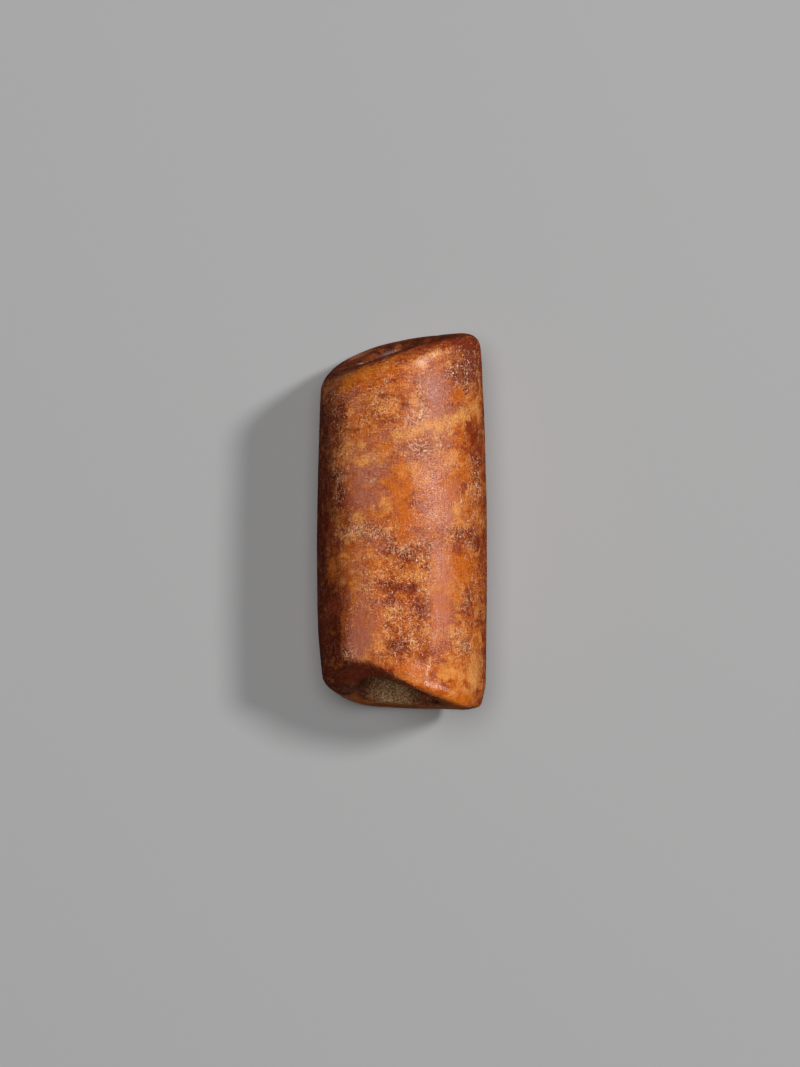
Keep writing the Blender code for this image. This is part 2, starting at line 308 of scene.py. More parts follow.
# The stains and veins, in the order in which they are laid over the amber of the stone. Some of
# the same fields also hold painted shade, sheen and highlights, as marked
STAINS = {
    # Umber stains; the same field also carries the painted shade of the left flank and the low face
    "umber_and_shade": [
        (-9.0, -11.6, 2.0, 4.4, 0, 1.0),
        (-8.2, -8.8, 1.4, 0.5, 10, 0.6),
        (-5.2, 16.7, 1.6, 0.6, 18, 0.7),
        (8.8, 18.3, 1.6, 1.0, 0, 1.0),
    ],
    "wine": [
        (6.4, 15.6, 1.8, 2.4, 0, 0.75),
        (9.2, 17.2, 1.6, 2.0, 0, 1.0),
        (10.6, 16.8, 1.0, 3.0, 0, 1.0),
        (8.6, 14.8, 1.2, 1.6, 0, 0.5),
        (6.4, -1.2, 3.0, 0.9, -8, 0.65),
        (-4.4, 3.6, 1.7, 1.3, 0, 0.5),
        (7.8, -8.2, 0.6, 1.6, 0, 0.6),
        (-6.0, -12.0, 1.0, 1.8, 0, 0.6),
        (-6.6, -8.6, 1.4, 0.5, 24, 0.6),
        (-6.4, 4.8, 1.4, 0.4, 18, 0.7),
        (2.2, -14.6, 0.9, 0.5, 0, 0.6),
        (8.0, -13.0, 1.2, 0.9, 0, 0.65),
        (-4.8, -12.6, 1.6, 2.0, 0, 0.4),
    ],
    "russet": [
        (9.4, 9.0, 1.7, 1.5, 12, 1.0),
        (9.8, 6.0, 0.9, 2.2, 0, 0.85),
        (-6.8, 12.0, 0.9, 0.9, 0, 0.6),
        (-2.0, 12.8, 1.3, 0.5, 0, 0.55),
        (0.4, 12.1, 0.8, 0.8, 20, 0.75),
        (-0.3, 7.2, 1.5, 0.35, 32, 0.7),
        (1.7, 7.9, 1.6, 0.35, 20, 0.35),
        (9.6, -2.0, 1.5, 1.5, 0, 1.0),
        (7.6, -1.6, 1.2, 0.6, 0, 0.5),
        (0.4, -3.0, 2.2, 0.7, -6, 0.75),
        (-0.4, -6.7, 2.2, 0.7, -4, 1.0),
        (1.9, -9.5, 0.7, 2.6, 0, 0.55),
        (-0.5, -12.9, 1.6, 0.9, 0, 0.9),
        (0.2, -15.0, 1.0, 0.7, -30, 0.55),
        (-8.4, -1.4, 1.1, 2.0, 0, 0.5),
        (-8.4, -8.8, 1.4, 0.8, 10, 0.9),
        (-8.6, 9.6, 1.1, 1.4, 0, 0.6),
        (7.4, -7.4, 0.9, 1.4, 0, 0.65),
        (-3.2, -15.4, 3.2, 0.5, -14, 1.0),
        (-2.2, -14.2, 1.8, 0.7, -12, 0.65),
        (-1.6, 5.6, 0.5, 1.4, -38, 0.5),
        (1.4, 17.8, 2.0, 0.6, 18, 1.0),
        (8.8, 18.4, 1.6, 0.8, 0, 1.0),
        (-5.6, 16.8, 1.8, 0.7, 18, 1.0),
        (6.9, 13.2, 1.4, 1.3, 0, 0.50),
        (10.0, -8.0, 0.8, 3.4, 0, 0.55),
    ],
    # Mauve of the stone, with painted sheen where these patches lie in the light's shine: right of the
    # top, and low on the left
    "mauve_and_sheen": [
        (-3.2, 2.6, 3.2, 4.6, 0, 0.5),
        (3.4, 10.4, 3.2, 3.0, 0, 0.4),
        (-4.4, -8.6, 2.2, 3.6, 0, 0.4),
        (3.8, 13.8, 1.9, 2.8, 0, 0.9),
        (3.8, -3.0, 1.6, 1.4, 0, 0.5),
        (-2.6, -2.4, 2.4, 0.8, 0, 0.4),
        (-3.0, 5.0, 1.8, 0.8, 20, 0.5),
        (2.0, -1.6, 1.4, 0.7, 0, 0.6),
        (6.0, 3.6, 0.9, 1.2, 0, 0.4),
        (-4.9, -12.9, 1.3, 1.4, 0, 1.0),
        (-4.2, -11.2, 1.4, 2.4, 0, 0.9),
        (-4.2, 3.0, 1.6, 1.4, 0, 0.45),
        (-4.9, 11.8, 1.0, 0.9, 0, 0.7),
        (-5.0, -4.4, 1.4, 1.2, 0, 0.4),
        (2.6, 6.4, 1.8, 1.2, 0, 0.45),
        (-1.0, 8.6, 2.8, 1.4, 20, 0.6),
        (3.0, 7.6, 2.2, 1.0, 15, 0.5),
        (-4.6, 6.0, 2.2, 1.6, 0, 0.45),
        (-6.2, 13.2, 2.0, 0.9, 12, 0.5),
    ],
    # Pink of the polished strip, and painted sheen of the light along it
    "rose_and_sheen": [
        (4.2, 1.6, 2.4, 3.4, 0, 0.75),
        (4.1, -5.0, 1.5, 2.6, 0, 0.75),
        (4.2, -9.8, 1.5, 3.4, 0, 0.75),
        (3.2, 6.2, 2.4, 1.8, 0, 0.4),
        (-3.8, -8.4, 2.0, 2.8, 0, 0.35),
    ],
    "amber": [
        (0.3, -0.3, 1.2, 1.6, 0, 1.0),
        (-0.2, 4.4, 1.0, 2.0, -8, 0.8),
        (-1.8, 7.6, 1.4, 0.8, 0, 0.75),
        (6.7, 13.3, 1.0, 1.0, 0, 0.70),
        (0.3, 10.2, 0.6, 1.1, 0, 0.8),
        (-4.0, -10.0, 1.0, 1.2, 0, 0.4),
        (-2.4, -10.4, 0.8, 1.2, 0, 0.6),
        (7.0, -4.6, 1.2, 1.9, 0, 0.9),
        (7.2, -10.6, 1.3, 1.6, 0, 0.7),
        (-8.7, -5.4, 0.9, 1.3, 0, 0.9),
        (-7.6, 6.6, 0.8, 1.6, 0, 0.6),
        (0.2, -9.4, 1.2, 1.6, 0, 0.5),
        (1.2, -15.4, 2.4, 1.1, -18, 1.0),
        (9.8, -8.0, 1.2, 6.0, 0, 0.3),
        (9.2, -14.8, 1.0, 1.4, 0, 0.6),
        (9.4, 12.2, 0.7, 1.6, 0, 0.6),
    ],
    "gold": [
        (-6.8, 14.7, 1.0, 1.3, 0, 1.0),
        (-4.4, 15.5, 2.2, 0.65, 18, 1.0),
        (-1.0, 16.9, 2.4, 0.5, 20, 0.7),
        (4.4, 18.3, 2.0, 0.35, 18, 0.4),
        (-0.9, 4.4, 0.4, 1.2, -8, 0.5),
        (0.4, -4.8, 1.4, 0.8, 10, 0.5),
        (0.8, -11.6, 0.7, 0.7, 0, 0.6),
        (7.6, -18.4, 1.8, 0.7, 0, 0.7),
    ],
    "honey": [
        (-1.7, 1.7, 0.8, 0.8, 0, 0.9),
        (6.3, 1.1, 0.8, 1.0, 0, 1.0),
        (4.6, 7.0, 0.7, 0.8, 0, 0.7),
        (0.9, 5.6, 0.8, 0.5, 20, 0.6),
        (-5.3, 0.6, 1.2, 0.8, 20, 0.85),
        (-5.8, 7.8, 2.0, 0.8, 12, 0.6),
        (-3.8, 6.4, 1.6, 0.7, 14, 0.85),
        (-5.4, 9.6, 2.0, 0.4, 16, 0.45),
        (5.4, -11.6, 0.7, 1.0, 0, 0.65),
        (5.2, -15.4, 2.2, 1.3, 0, 0.6),
        (9.0, -16.3, 1.1, 1.2, 0, 0.85),
        (10.6, -13.0, 0.5, 3.6, 0, 0.5),
        (-4.4, -6.6, 1.6, 1.4, 0, 0.5),
        # These two are a painted highlight on the ridge beside the high lip, in honey
        (4.2, 17.5, 0.9, 0.5, 10, 0.7),
        (2.4, 16.5, 0.9, 0.6, 20, 0.7),
        (-1.2, -9.4, 0.4, 1.0, -20, 0.6),
        (-5.0, -1.3, 2.0, 0.8, 0, 0.8),
        (-0.2, 4.6, 0.6, 1.0, -8, 0.35),
        (9.2, -15.2, 1.0, 1.6, 0, 0.6),
        (7.2, -10.8, 0.8, 1.2, 0, 0.4),
        (6.2, -8.8, 0.9, 1.5, 0, 0.45),
    ],
    # Frost of weathered skin; the same field also carries painted highlights
    "frost_and_highlights": [
        (1.9, 11.0, 1.3, 0.7, 20, 0.95),
        (2.0, 12.9, 0.5, 1.5, 0, 0.65),
        (2.6, 7.7, 2.2, 0.9, 15, 0.36),
        (-4.8, -0.9, 1.9, 0.55, 6, 0.8),
        (-2.4, -1.4, 1.4, 0.5, -6, 0.75),
        (-5.8, -13.6, 0.9, 0.8, 0, 0.55),
        (-3.1, 4.3, 0.5, 0.2, 20, 1.0),
        (0.2, -2.8, 1.1, 0.22, 12, 0.9),
        (-1.9, -5.4, 0.15, 0.6, -18, 1.0),
        (-0.9, -9.2, 0.22, 0.9, -20, 0.9),
        (-0.2, -12.4, 0.35, 0.3, 0, 0.9),
        (1.6, -2.2, 1.6, 0.3, 0, 0.6),
        (0.2, -9.0, 1.4, 0.25, -14, 0.5),
        (1.2, -11.4, 0.9, 0.25, 30, 0.5),
        (6.8, 2.6, 0.18, 0.8, 8, 1.0),
        (3.9, 0.6, 0.9, 0.5, 0, 0.45),
        # Painted highlights on the ridge beside the high lip
        (4.0, 17.4, 0.8, 0.35, 20, 0.85),
        (2.5, 16.8, 0.9, 0.32, 26, 1.0),
        # Painted highlight on the ridge of the low lip
        (4.6, -17.2, 1.5, 0.13, -18, 0.7),
        (8.2, -2.2, 0.9, 0.15, 24, 0.8),
        (-7.8, 3.6, 0.12, 1.6, -12, 0.9),
        # Painted highlight along the right edge
        (10.2, 5.0, 0.14, 1.8, 4, 0.9),
        (-6.4, 7.0, 0.5, 0.14, 10, 0.9),
        (-8.4, 6.0, 0.12, 0.9, 0, 0.8),
    ],
}
STAIN_COLOURS = {
    "umber_and_shade": (0.122, 0.0115, 0.0012),
    "wine": (0.27, 0.046, 0.018),
    "russet": (0.27, 0.030, 0.004),
    "mauve_and_sheen": (0.50, 0.148, 0.084),
    "rose_and_sheen": (0.65, 0.208, 0.110),
    "amber": (0.67, 0.150, 0.010),
    "gold": (0.64, 0.162, 0.003),
    "honey": (0.90, 0.35, 0.080),
}
FROST_AND_HIGHLIGHT_COLOUR = (1.0, 0.60, 0.37)

# How much the stone's mottle tears the edges of each stain. A stain below 0 keeps to the dark parts
# of the mottle, and one above 0 to the pale parts
RAGGEDNESS = {
    "umber_and_shade": -1.4,
    "wine": -2.8,
    "russet": -3.4,
    "mauve_and_sheen": -2.4,
    "rose_and_sheen": -2.0,
    "amber": 2.0,
    "gold": 1.6,
    "honey": 3.0,
}

# The vein across the high third, the old crack above the low lip, and the strip's bright edge
HONEY_VEIN = [(-0.6, 8.9), (1.0, 9.2), (3.3, 9.8), (5.3, 10.5), (7.4, 11.3), (10.5, 11.7)]
HONEY_VEIN_WIDTH = 0.85
HONEY_VEIN_STRENGTH = 0.8
FRACTURE = [(3.1, -14.2), (2.7, -15.4), (2.8, -16.6)]
FRACTURE_WIDTH = 0.16
STRIP_EDGE = [(2.8, -2.6), (3.0, -5.6), (2.8, -8.8), (3.1, -12.6)]
STRIP_EDGE_WIDTH = 0.14
STRIP_EDGE_STRENGTH = 0.6

# A painted highlight along a ledge inside the high mouth, by x and y, and the heights over the axis
# where it fades
LEDGE_HIGHLIGHT = [(-4.6, 16.8), (-3.4, 17.0), (-1.8, 17.4), (-0.4, 18.0)]
LEDGE_HIGHLIGHT_WIDTH = 0.13
LEDGE_HIGHLIGHT_FADES = (2.0, 5.0)

# How far what lies on the skin strays from its place, so that its edges run unevenly. What is
# crisp strays by a share of it
STRAY = 0.6
STRAY_SIZE = 2.4
CRISP_SHARE = 0.25

# By the height over the axis, what the view from above shows, and where the placed stains fade
SEEN_RANGE = (-3.0, 3.0)
PLACED_RANGE = (-2.0, 1.0)

# The stains on the side that lies hidden, which come by chance
CHANCE_SIZE = 5.0
CHANCE_RANGE = (0.05, 0.6)
CHANCE_FROST = 0.5


def around_and_along(places):
    """Where places are on the bead's side."""
    around = np.arctan2(places[:, 0], places[:, 2] - AXIS_HEIGHT) * BELLY_RADIUS
    return np.array((around, places[:, 1]))


def strays(places):
    """How far what lies at each place strays, around and along."""
    ways = [layered_noise(places, STRAY_SIZE, layers=4, seed=seed) for seed in (11, 21)]
    return STRAY * np.array(ways)


def strip_field(at):
    """How far inside the eaten strip a place is, from 0 outside it to 1."""
    around, along = at
    left = rising(around, STRIP_LEFT - STRIP_SOFT_EDGE, STRIP_LEFT + STRIP_SOFT_EDGE)
    right = 1 - rising(around, STRIP_RIGHT, STRIP_RIGHT + STRIP_CRISP_EDGE)
    lower = rising(along, STRIP_LOW - STRIP_SOFT_EDGE, STRIP_LOW + STRIP_SOFT_EDGE)
    upper = 1 - rising(along, STRIP_HIGH - STRIP_SOFT_EDGE, STRIP_HIGH)
    return (left * right) * (lower * upper)


def lay_the_stains(fields, places, at, near, seen):
    """Adds each stain, with the painted sheen and highlights among them: where placed, and by chance on
    the hidden side.
    """
    placed_here = rising(places[:, 2] - AXIS_HEIGHT, *PLACED_RANGE)
    for number, (name, spots) in enumerate(STAINS.items()):
        chance = layered_noise(places, CHANCE_SIZE, layers=3, seed=41 + 10 * number)
        hidden = rising(chance, *CHANCE_RANGE) * (1 - seen) * (1 - fields["bore"])
        if name == "frost_and_highlights":
            fields[name] = np.maximum(CHANCE_FROST * hidden, patches(near, spots) * placed_here)
        else:
            fields[name] = np.maximum(hidden, patches(at, spots) * placed_here)


def lay_the_veins(fields, at, near, seen):
    """Adds the honey vein, the crack and the bright edge of the strip."""
    fields["honey"] += HONEY_VEIN_STRENGTH * streak(at, HONEY_VEIN, HONEY_VEIN_WIDTH) * seen
    fields["frost_and_highlights"] += streak(near, FRACTURE, FRACTURE_WIDTH) * seen
    fields["frost_and_highlights"] += STRIP_EDGE_STRENGTH * streak(near, STRIP_EDGE, STRIP_EDGE_WIDTH) * seen


# The painted shade of the left flank, in brown, by how far a place is turned left: where it starts,
# over how far it deepens, its most, and how much thinner it is in the high end. Then the russet of
# the right flank. Both fade out low on the flanks
BROWN_STRAY = 1.8
BROWN_STRAY_SIZE = 3.6
BROWN_START = 4.4
BROWN_DEEPENS_OVER = 6.0
BROWN_MOST = 1.15
BROWN_THINNER = 0.4
BROWN_THINNER_RANGE = (10.0, 14.0)
RUSSET_STRENGTH = 0.6
RUSSET_RANGE = (9.8, 11.5)
FLANKS_END = (13.0, 17.0)


def paint_flank_shade_and_russet(fields, places, side, at):
    """Adds painted shade in brown to the left flank, and russet to the right one."""
    stray = layered_noise(places, BROWN_STRAY_SIZE, layers=5, seed=91)
    turned = BROWN_STRAY * stray - side[0]
    # Painted shade on the left flank, in brown
    brown = np.clip((turned - BROWN_START) / BROWN_DEEPENS_OVER, 0, BROWN_MOST)
    brown = brown * (1 - rising(turned, *FLANKS_END))
    fields["umber_and_shade"] += brown * (1 - BROWN_THINNER * rising(side[1], *BROWN_THINNER_RANGE))
    right = rising(at[0], *RUSSET_RANGE) * (1 - rising(at[0], *FLANKS_END))
    fields["russet"] += RUSSET_STRENGTH * right


# The face of the low end, told by how far a place faces along the bead. Its colours are laid by x
# and y, which stray by so much: umber on its left as painted shade, russet in its middle, and amber
# on its right as painted light. At its low edge umber ends and amber takes over as a painted glow
LOW_FACE_TURN = (0.45, 0.80)
LOW_FACE_STRAY_X = 4.8
LOW_FACE_STRAY_Y = 1.8
LOW_FACE_STRAY_SIZE = 3.0
LOW_FACE_UMBER = 1.2
LOW_FACE_UMBER_LEFT = (1.6, 6.0)
LOW_FACE_RUSSET_MIDDLE = -1.6
LOW_FACE_RUSSET_ENDS = (2.4, 5.6)
LOW_FACE_AMBER_RIGHT = (1.0, 4.5)
LOW_EDGE_UMBER_Y = (-19.6, -16.4)
LOW_EDGE_AMBER_Y = (-19.6, -16.6)
LOW_EDGE_AMBER = 0.6


def paint_low_face_light_and_shade(fields, places, out_along):
    """Adds the low face's colours: painted shade on its left, painted light on its right and edge."""
    face = rising(-out_along, *LOW_FACE_TURN)
    ways = [layered_noise(places, LOW_FACE_STRAY_SIZE, layers=4, seed=seed) for seed in (101, 111)]
    x = places[:, 0] + LOW_FACE_STRAY_X * ways[0]
    y = places[:, 1] + LOW_FACE_STRAY_Y * ways[1]
    # Painted shade: umber on the left of the low face
    umber_and_shade = LOW_FACE_UMBER * face * rising(-x, *LOW_FACE_UMBER_LEFT)
    fields["umber_and_shade"] += umber_and_shade * rising(y, *LOW_EDGE_UMBER_Y)
    from_middle = abs(x - LOW_FACE_RUSSET_MIDDLE)
    fields["russet"] += face * (1 - rising(from_middle, *LOW_FACE_RUSSET_ENDS))
    # Painted light: amber on the right of the low face, and a painted glow along its low edge
    fields["amber"] += face * rising(x, *LOW_FACE_AMBER_RIGHT)
    fields["amber"] += LOW_EDGE_AMBER * face * (1 - rising(y, *LOW_EDGE_AMBER_Y))


# The face of the high end, umber on its left, and the edge beyond the lip over its mouth, umber
# too, which slants by a share of x. Both lose most of the pale stains. The lip is russet, but for
# its left end
HIGH_FACE_TURN = (0.75, 0.92)
HIGH_FACE_UMBER = 0.9
HIGH_FACE_UMBER_LEFT = (-1.0, 4.0)
HIGH_FACE_RUSSET = 0.6
PALE_STAINS_LOST = 0.85
LIP_SLANT = 0.25
BEYOND_LIP = (16.8, 17.5)
BEYOND_LIP_LEFT = (0.5, 2.5)
LIP_TURN = (0.25, 0.6)
LIP_LEFT_END_X = (-6.5, -4.5)
LIP_RUSSET = 0.65


def colour_the_high_face(fields, places, out_along):
    """Adds the colours of the high end's face, and a painted highlight along the ledge in its mouth."""
    x, along, up = places[:, 0], places[:, 1], places[:, 2] - AXIS_HEIGHT
    face = rising(out_along, *HIGH_FACE_TURN)
    beyond_lip = rising(along - LIP_SLANT * x, *BEYOND_LIP) * rising(-x, *BEYOND_LIP_LEFT)
    beyond_lip = beyond_lip * (1 - fields["bore"])
    left_of_face = face * rising(-x, *HIGH_FACE_UMBER_LEFT)
    fields["umber_and_shade"] += HIGH_FACE_UMBER * np.maximum(left_of_face, beyond_lip)
    fields["russet"] += HIGH_FACE_RUSSET * face
    for name in ("amber", "gold", "honey"):
        fields[name] *= 1 - PALE_STAINS_LOST * np.maximum(face, beyond_lip)
    on_lip = rising(out_along, *LIP_TURN) * rising(x, *LIP_LEFT_END_X)
    fields["russet"] += LIP_RUSSET * on_lip
    # Painted highlight along the ledge in the high mouth
    fields["frost_and_highlights"] += streak((x, along), LEDGE_HIGHLIGHT, LEDGE_HIGHLIGHT_WIDTH) * (1 - rising(up, *LEDGE_HIGHLIGHT_FADES))


# The bore is inside these distances from its axis, in its high half it is smoother, and a rim
# stands out from the skin by so much
BORE_OUTSIDE = 5.4
BORE_INSIDE = 4.4
BORE_SMOOTHED = 0.75
BORE_HIGH_HALF = (0.0, 4.0)
RIM_HEIGHT = (0.035, 0.12)

# Chalky ground left in the low mouth, by the way to the low end, by x from its left, and by x from
# its right, counted towards the left
CHALK_LOW = (9.0, 14.0)
CHALK_FROM_LEFT = (-5.0, -1.4)
CHALK_FROM_RIGHT = (-3.2, 0.8)

# The high third of the bead, where grinding left lines round it. They fade towards its right: the
# second pair is counted towards the left
HIGH_THIRD = (1.0, 7.0)
HIGH_THIRD_FROM_RIGHT = (-5.0, -0.5)


def weathering(places, at, strip):
    """How weathered each place is, from 0 where it is polished."""
    by_chance = WEATHERED_BY_CHANCE * layered_noise(places, WEATHERED_SIZE, layers=3, seed=31)
    rough = WEATHERED_ANYWHERE + by_chance + patches(at, WEATHERED)
    for spot in POLISHED:
        rough *= 1 - patch(at, *spot)
    return np.maximum(rough, STRIP_WEATHERED * strip)


def skin_fields(places, normals, out_from_mean):
    """What is at each place of the skin: a dictionary of values from 0 to 1."""
    x, along, up = places[:, 0], places[:, 1], places[:, 2] - AXIS_HEIGHT
    side, stray = around_and_along(places), strays(places)
    at, near = side + stray, side + CRISP_SHARE * stray
    seen = rising(up, *SEEN_RANGE)
    bore = rising(-np.hypot(x, up), -BORE_OUTSIDE, -BORE_INSIDE)
    fields = {"bore": bore, "rim": rising(out_from_mean, *RIM_HEIGHT) * (1 - bore)}
    lay_the_stains(fields, places, at, near, seen)
    lay_the_veins(fields, at, near, seen)
    paint_flank_shade_and_russet(fields, places, side, at)
    paint_low_face_light_and_shade(fields, places, normals[:, 1])
    colour_the_high_face(fields, places, normals[:, 1])
    fields["strip"] = strip_field(near) * seen
    fields["weathered"] = weathering(places, at, fields["strip"])
    fields["weathered"] *= 1 - BORE_SMOOTHED * bore * rising(along, *BORE_HIGH_HALF)
    chalk_width = rising(-x, *CHALK_FROM_RIGHT) * rising(x, *CHALK_FROM_LEFT)
    fields["chalk"] = bore * rising(-along, *CHALK_LOW) * chalk_width
    fields["high_third"] = rising(at[1], *HIGH_THIRD) * rising(-at[0], *HIGH_THIRD_FROM_RIGHT)
    return {name: np.clip(values, 0, 1) for name, values in fields.items()}


# The low swellings that hand grinding left, the ripples on them, and the roughness of weathered
# skin, each with its size along the skin
SWELLING_HEIGHT = 0.05
SWELLING_SIZE = 6.0
RIPPLE_HEIGHT = 0.02
RIPPLE_SIZE = 1.8
ROUGHNESS_HEIGHT = 0.020
ROUGHNESS_SIZE = 0.55

# The depths of what the ground has eaten: hollows and small holes in the strip and where the skin
# is weathered most, and pits scattered over all that is weathered. Their shades say how much each
# of them darkens the stone
MOST_WEATHERED = (0.75, 1.0)
MOST_WEATHERED_EATEN = 0.8
HOLLOW_DEPTH = 0.11
HOLLOW_SIZE = 0.8
HOLLOW_RANGE = (0.1, 0.45)
HOLE_DEPTH = 0.10
HOLE_SPACING = 0.65
HOLE_SHARE = 0.5
PIT_DEPTH = 0.07
PIT_SPACING = 1.6
PIT_SHARE = 0.35
HOLLOW_SHADE = 0.8
HOLE_SHADE = 0.6
PIT_SHADE = 0.6

# A low ridge along the lip over the low mouth
LIP_RIDGE = [(2.4, -17.0), (4.2, -17.5), (6.2, -18.1)]
LIP_RIDGE_HEIGHT = 0.12
LIP_RIDGE_WIDTH = 0.30

# The thick corner of the lip beside the low mouth, by x and the height over the axis, on skin that
# turns to the low end, and the wear beyond it, by x and the way to the low end
LIP_CORNER = (6.0, 4.0, 1.6, 3.4, 0, 0.35)
LIP_CORNER_TURN = (0.3, 0.8)
CORNER_WEAR = 0.4
WEAR_ASIDE = (6.4, 9.2)
WEAR_LOW = (16.8, 19.6)


def swellings(places, rough):
    """How far the uneven skin stands out, before it is eaten."""
    height = SWELLING_HEIGHT * noise(places, SWELLING_SIZE, seed=1)
    height += RIPPLE_HEIGHT * layered_noise(places, RIPPLE_SIZE, layers=2, seed=2)
    roughness = layered_noise(places, ROUGHNESS_SIZE, layers=2, seed=5)
    return height + ROUGHNESS_HEIGHT * rough * roughness


def eaten_away(places, strip, rough):
    """How deep the ground has eaten into each place, and how much of a shaded pit it is."""
    eaten = np.maximum(strip, MOST_WEATHERED_EATEN * rising(rough, *MOST_WEATHERED))
    hollows = rising(layered_noise(places, HOLLOW_SIZE, layers=2, seed=61), *HOLLOW_RANGE)
    holes = pits(places, HOLE_SPACING, HOLE_SHARE, seed=71)
    scattered = rough * pits(places, PIT_SPACING, PIT_SHARE, seed=81)
    depth = STRIP_DEPTH * strip + eaten * (HOLLOW_DEPTH * hollows + HOLE_DEPTH * holes)
    pit = eaten * (HOLLOW_SHADE * hollows + HOLE_SHADE * holes) + PIT_SHADE * scattered
    return depth + PIT_DEPTH * scattered, np.clip(pit, 0, 1)


def low_lip(places, normals):
    """How far the ridge and the corner of the lip over the low mouth stand out, and its wear."""
    x, along, up = places[:, 0], places[:, 1], places[:, 2] - AXIS_HEIGHT
    low_end = rising(-normals[:, 1], *LIP_CORNER_TURN)
    height = LIP_RIDGE_HEIGHT * streak(around_and_along(places), LIP_RIDGE, LIP_RIDGE_WIDTH)
    height += patch((x, up), *LIP_CORNER) * low_end
    return height - CORNER_WEAR * rising(x, *WEAR_ASIDE) * rising(-along, *WEAR_LOW)


def set_field(mesh, name, values):
    """Keeps a value for each point of a mesh, for the material to read."""
    layer = mesh.attributes.new(name, "FLOAT", "POINT")
    layer.data.foreach_set("value", values.astype(np.float32))


def etch(piece):
    """Moves the skin in and out by its relief, and keeps the fields for the material."""
    mesh = piece.data
    places, normals = places_of(mesh), rows_of(mesh, "normal")
    fields = skin_fields(places, normals, standing_out(mesh))
    rough = fields["weathered"] * (1 - fields["bore"])
    depth, fields["pit"] = eaten_away(places, fields["strip"], rough)
    height = swellings(places, rough) - depth + low_lip(places, normals)
    moved = places + normals * height[:, None]
    moved[:, 2] = np.maximum(moved[:, 2], 0)
    mesh.vertices.foreach_set("co", (moved * MM).ravel())
    for name, values in fields.items():
        set_field(mesh, name, values)
    mesh.update()


def node(tree, kind, inputs, **settings):
    """A new node, with each of its inputs set to a value or linked to a socket."""
    made = tree.nodes.new(kind)
    for name, value in settings.items():
        setattr(made, name, value)
    for name, value in inputs.items():
        if isinstance(value, bpy.types.NodeSocket):
            tree.links.new(value, made.inputs[name])
        else:
            made.inputs[name].default_value = value
    return made


def math_node(tree, operation, first, second=0.0):
    """One step of arithmetic on two numbers or sockets."""
    return node(tree, "ShaderNodeMath", {0: first, 1: second}, operation=operation).outputs[0]


def times(tree, first, second):
    return math_node(tree, "MULTIPLY", first, second)


def plus(tree, first, second):
    return math_node(tree, "ADD", first, second)


def larger(tree, first, second):
    return math_node(tree, "MAXIMUM", first, second)


def field(tree, name):
    """A field that the skin carries."""
    return node(tree, "ShaderNodeAttribute", {}, attribute_name=name).outputs["Fac"]


def between(tree, value, start, end, to_start=0.0, to_end=1.0):
    """The value, turned smoothly from its range start to end into another range."""
    ranged = {"Value": value, "From Min": start, "From Max": end, "To Min": to_start, "To Max": to_end}
    return node(tree, "ShaderNodeMapRange", ranged, interpolation_type="SMOOTHSTEP").outputs[0]


def grain(tree, place, per_mm, detail=4.0, roughness=0.6):
    """Noise with about per_mm grains in a millimetre."""
    inputs = {"Vector": place, "Scale": per_mm, "Detail": detail, "Roughness": roughness}
    return node(tree, "ShaderNodeTexNoise", inputs).outputs[0]


def stretched(tree, place, lean, by):
    """The place, with what is made there drawn out along the way that leans by some degrees."""
    inputs = {"Vector": place, "Rotation": (0, 0, math.radians(lean)), "Scale": by}
    return node(tree, "ShaderNodeMapping", inputs, vector_type="TEXTURE").outputs[0]


def mixed(tree, amount, first, second):
    """The first colour with an amount of the second over it."""
    inputs = {0: amount, 6: first, 7: second}
    return node(tree, "ShaderNodeMix", inputs, data_type="RGBA").outputs[2]


def shaded(tree, amount, under, tone):
    """The colour under it, multiplied by a tone where the amount is 1."""
    inputs = {0: amount, 6: under, 7: colour(tone)}
    return node(tree, "ShaderNodeMix", inputs, data_type="RGBA", blend_type="MULTIPLY").outputs[2]


def colour(red_green_blue):
    """The colour as a socket takes it, opaque."""
    return (*red_green_blue, 1.0)


# Where a torn field starts and is full, and how it fades outside its patches
TORN_RANGE = (0.08, 0.98)
TORN_FADE = (-0.12, 0.40)


def torn(tree, amount, mottle, raggedness):
    """A field with its edges torn along the stone's mottle: more so with more raggedness."""
    sum_of = {0: mottle, 1: raggedness, 2: amount}
    uneven = node(tree, "ShaderNodeMath", sum_of, operation="MULTIPLY_ADD").outputs[0]
    start, end = (raggedness / 2 + bound for bound in TORN_RANGE)
    ranged = {"Value": uneven, "From Min": start, "From Max": end}
    edged = node(tree, "ShaderNodeMapRange", ranged).outputs[0]
    return times(tree, edged, between(tree, amount, *TORN_FADE))


# The swirls that bend the stone's mottle, and its blotches and drawn-out fibres
SWIRLS_PER_MM = 0.5
SWIRL_REACH = 2.2
BLOTCHES_PER_MM = 0.9
BLOTCH_WEIGHT = 0.6
FIBRES_PER_MM = 1.1
FIBRE_LEAN = 22
FIBRE_SHAPE = (2.4, 0.5, 1.2)
FIBRE_WEIGHT = 0.4


def warped_place(tree, place):
    """The place, moved about by the swirls."""
    swirl = {"Vector": place, "Scale": SWIRLS_PER_MM, "Detail": 3.0}
    swirled = node(tree, "ShaderNodeTexNoise", swirl).outputs["Color"]
    bent = {0: swirled, 1: [SWIRL_REACH] * 3, 2: place}
    return node(tree, "ShaderNodeVectorMath", bent, operation="MULTIPLY_ADD").outputs[0]


def mottled(tree, warped):
    """The stone's mottle, of blotches and fibres."""
    blotches = grain(tree, warped, BLOTCHES_PER_MM, detail=6.0, roughness=0.54)
    drawn_out = stretched(tree, warped, FIBRE_LEAN, FIBRE_SHAPE)
    fibres = grain(tree, drawn_out, FIBRES_PER_MM, detail=5.0, roughness=0.58)
    return plus(tree, times(tree, blotches, BLOTCH_WEIGHT), times(tree, fibres, FIBRE_WEIGHT))


